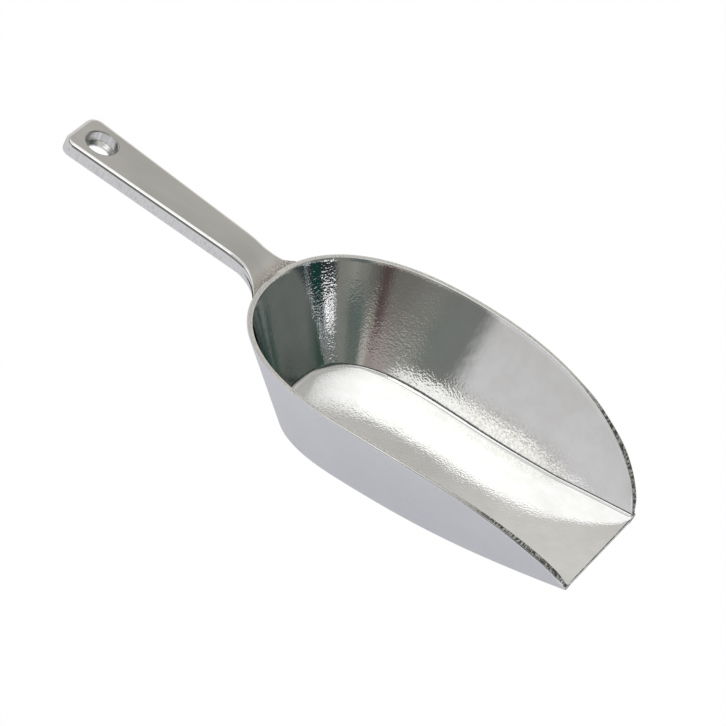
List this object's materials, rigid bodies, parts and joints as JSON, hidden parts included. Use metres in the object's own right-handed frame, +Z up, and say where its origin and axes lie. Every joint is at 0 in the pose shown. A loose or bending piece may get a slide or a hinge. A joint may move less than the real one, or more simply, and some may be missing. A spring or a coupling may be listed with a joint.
{
  "type": "feed scoop",
  "caption": "Cast aluminium feed scoop: flared egg-shaped bowl, open straight lip on a gently rising floor, level ground rim, flat tapered bar handle with a hang hole.",
  "frame": {"origin": "middle of the flat patch of the floor's underside that the scoop rests on", "axes": "+Z up, square to the resting face; +X towards the lip, with the handle along -X; the scoop is mirror-symmetric about the XZ plane"},
  "size_m": [0.2869, 0.1238, 0.0603],
  "materials": {
    "ground_aluminium": "satin, belt ground, with polished rounded edges",
    "polished_aluminium": "bright polished casting, fine grain inside, satin outside"
  },
  "bodies": {
    "root": {"handle": "ground_aluminium", "bowl_wall": "polished_aluminium", "bowl_floor": "polished_aluminium"}
  },
  "joints": []
}
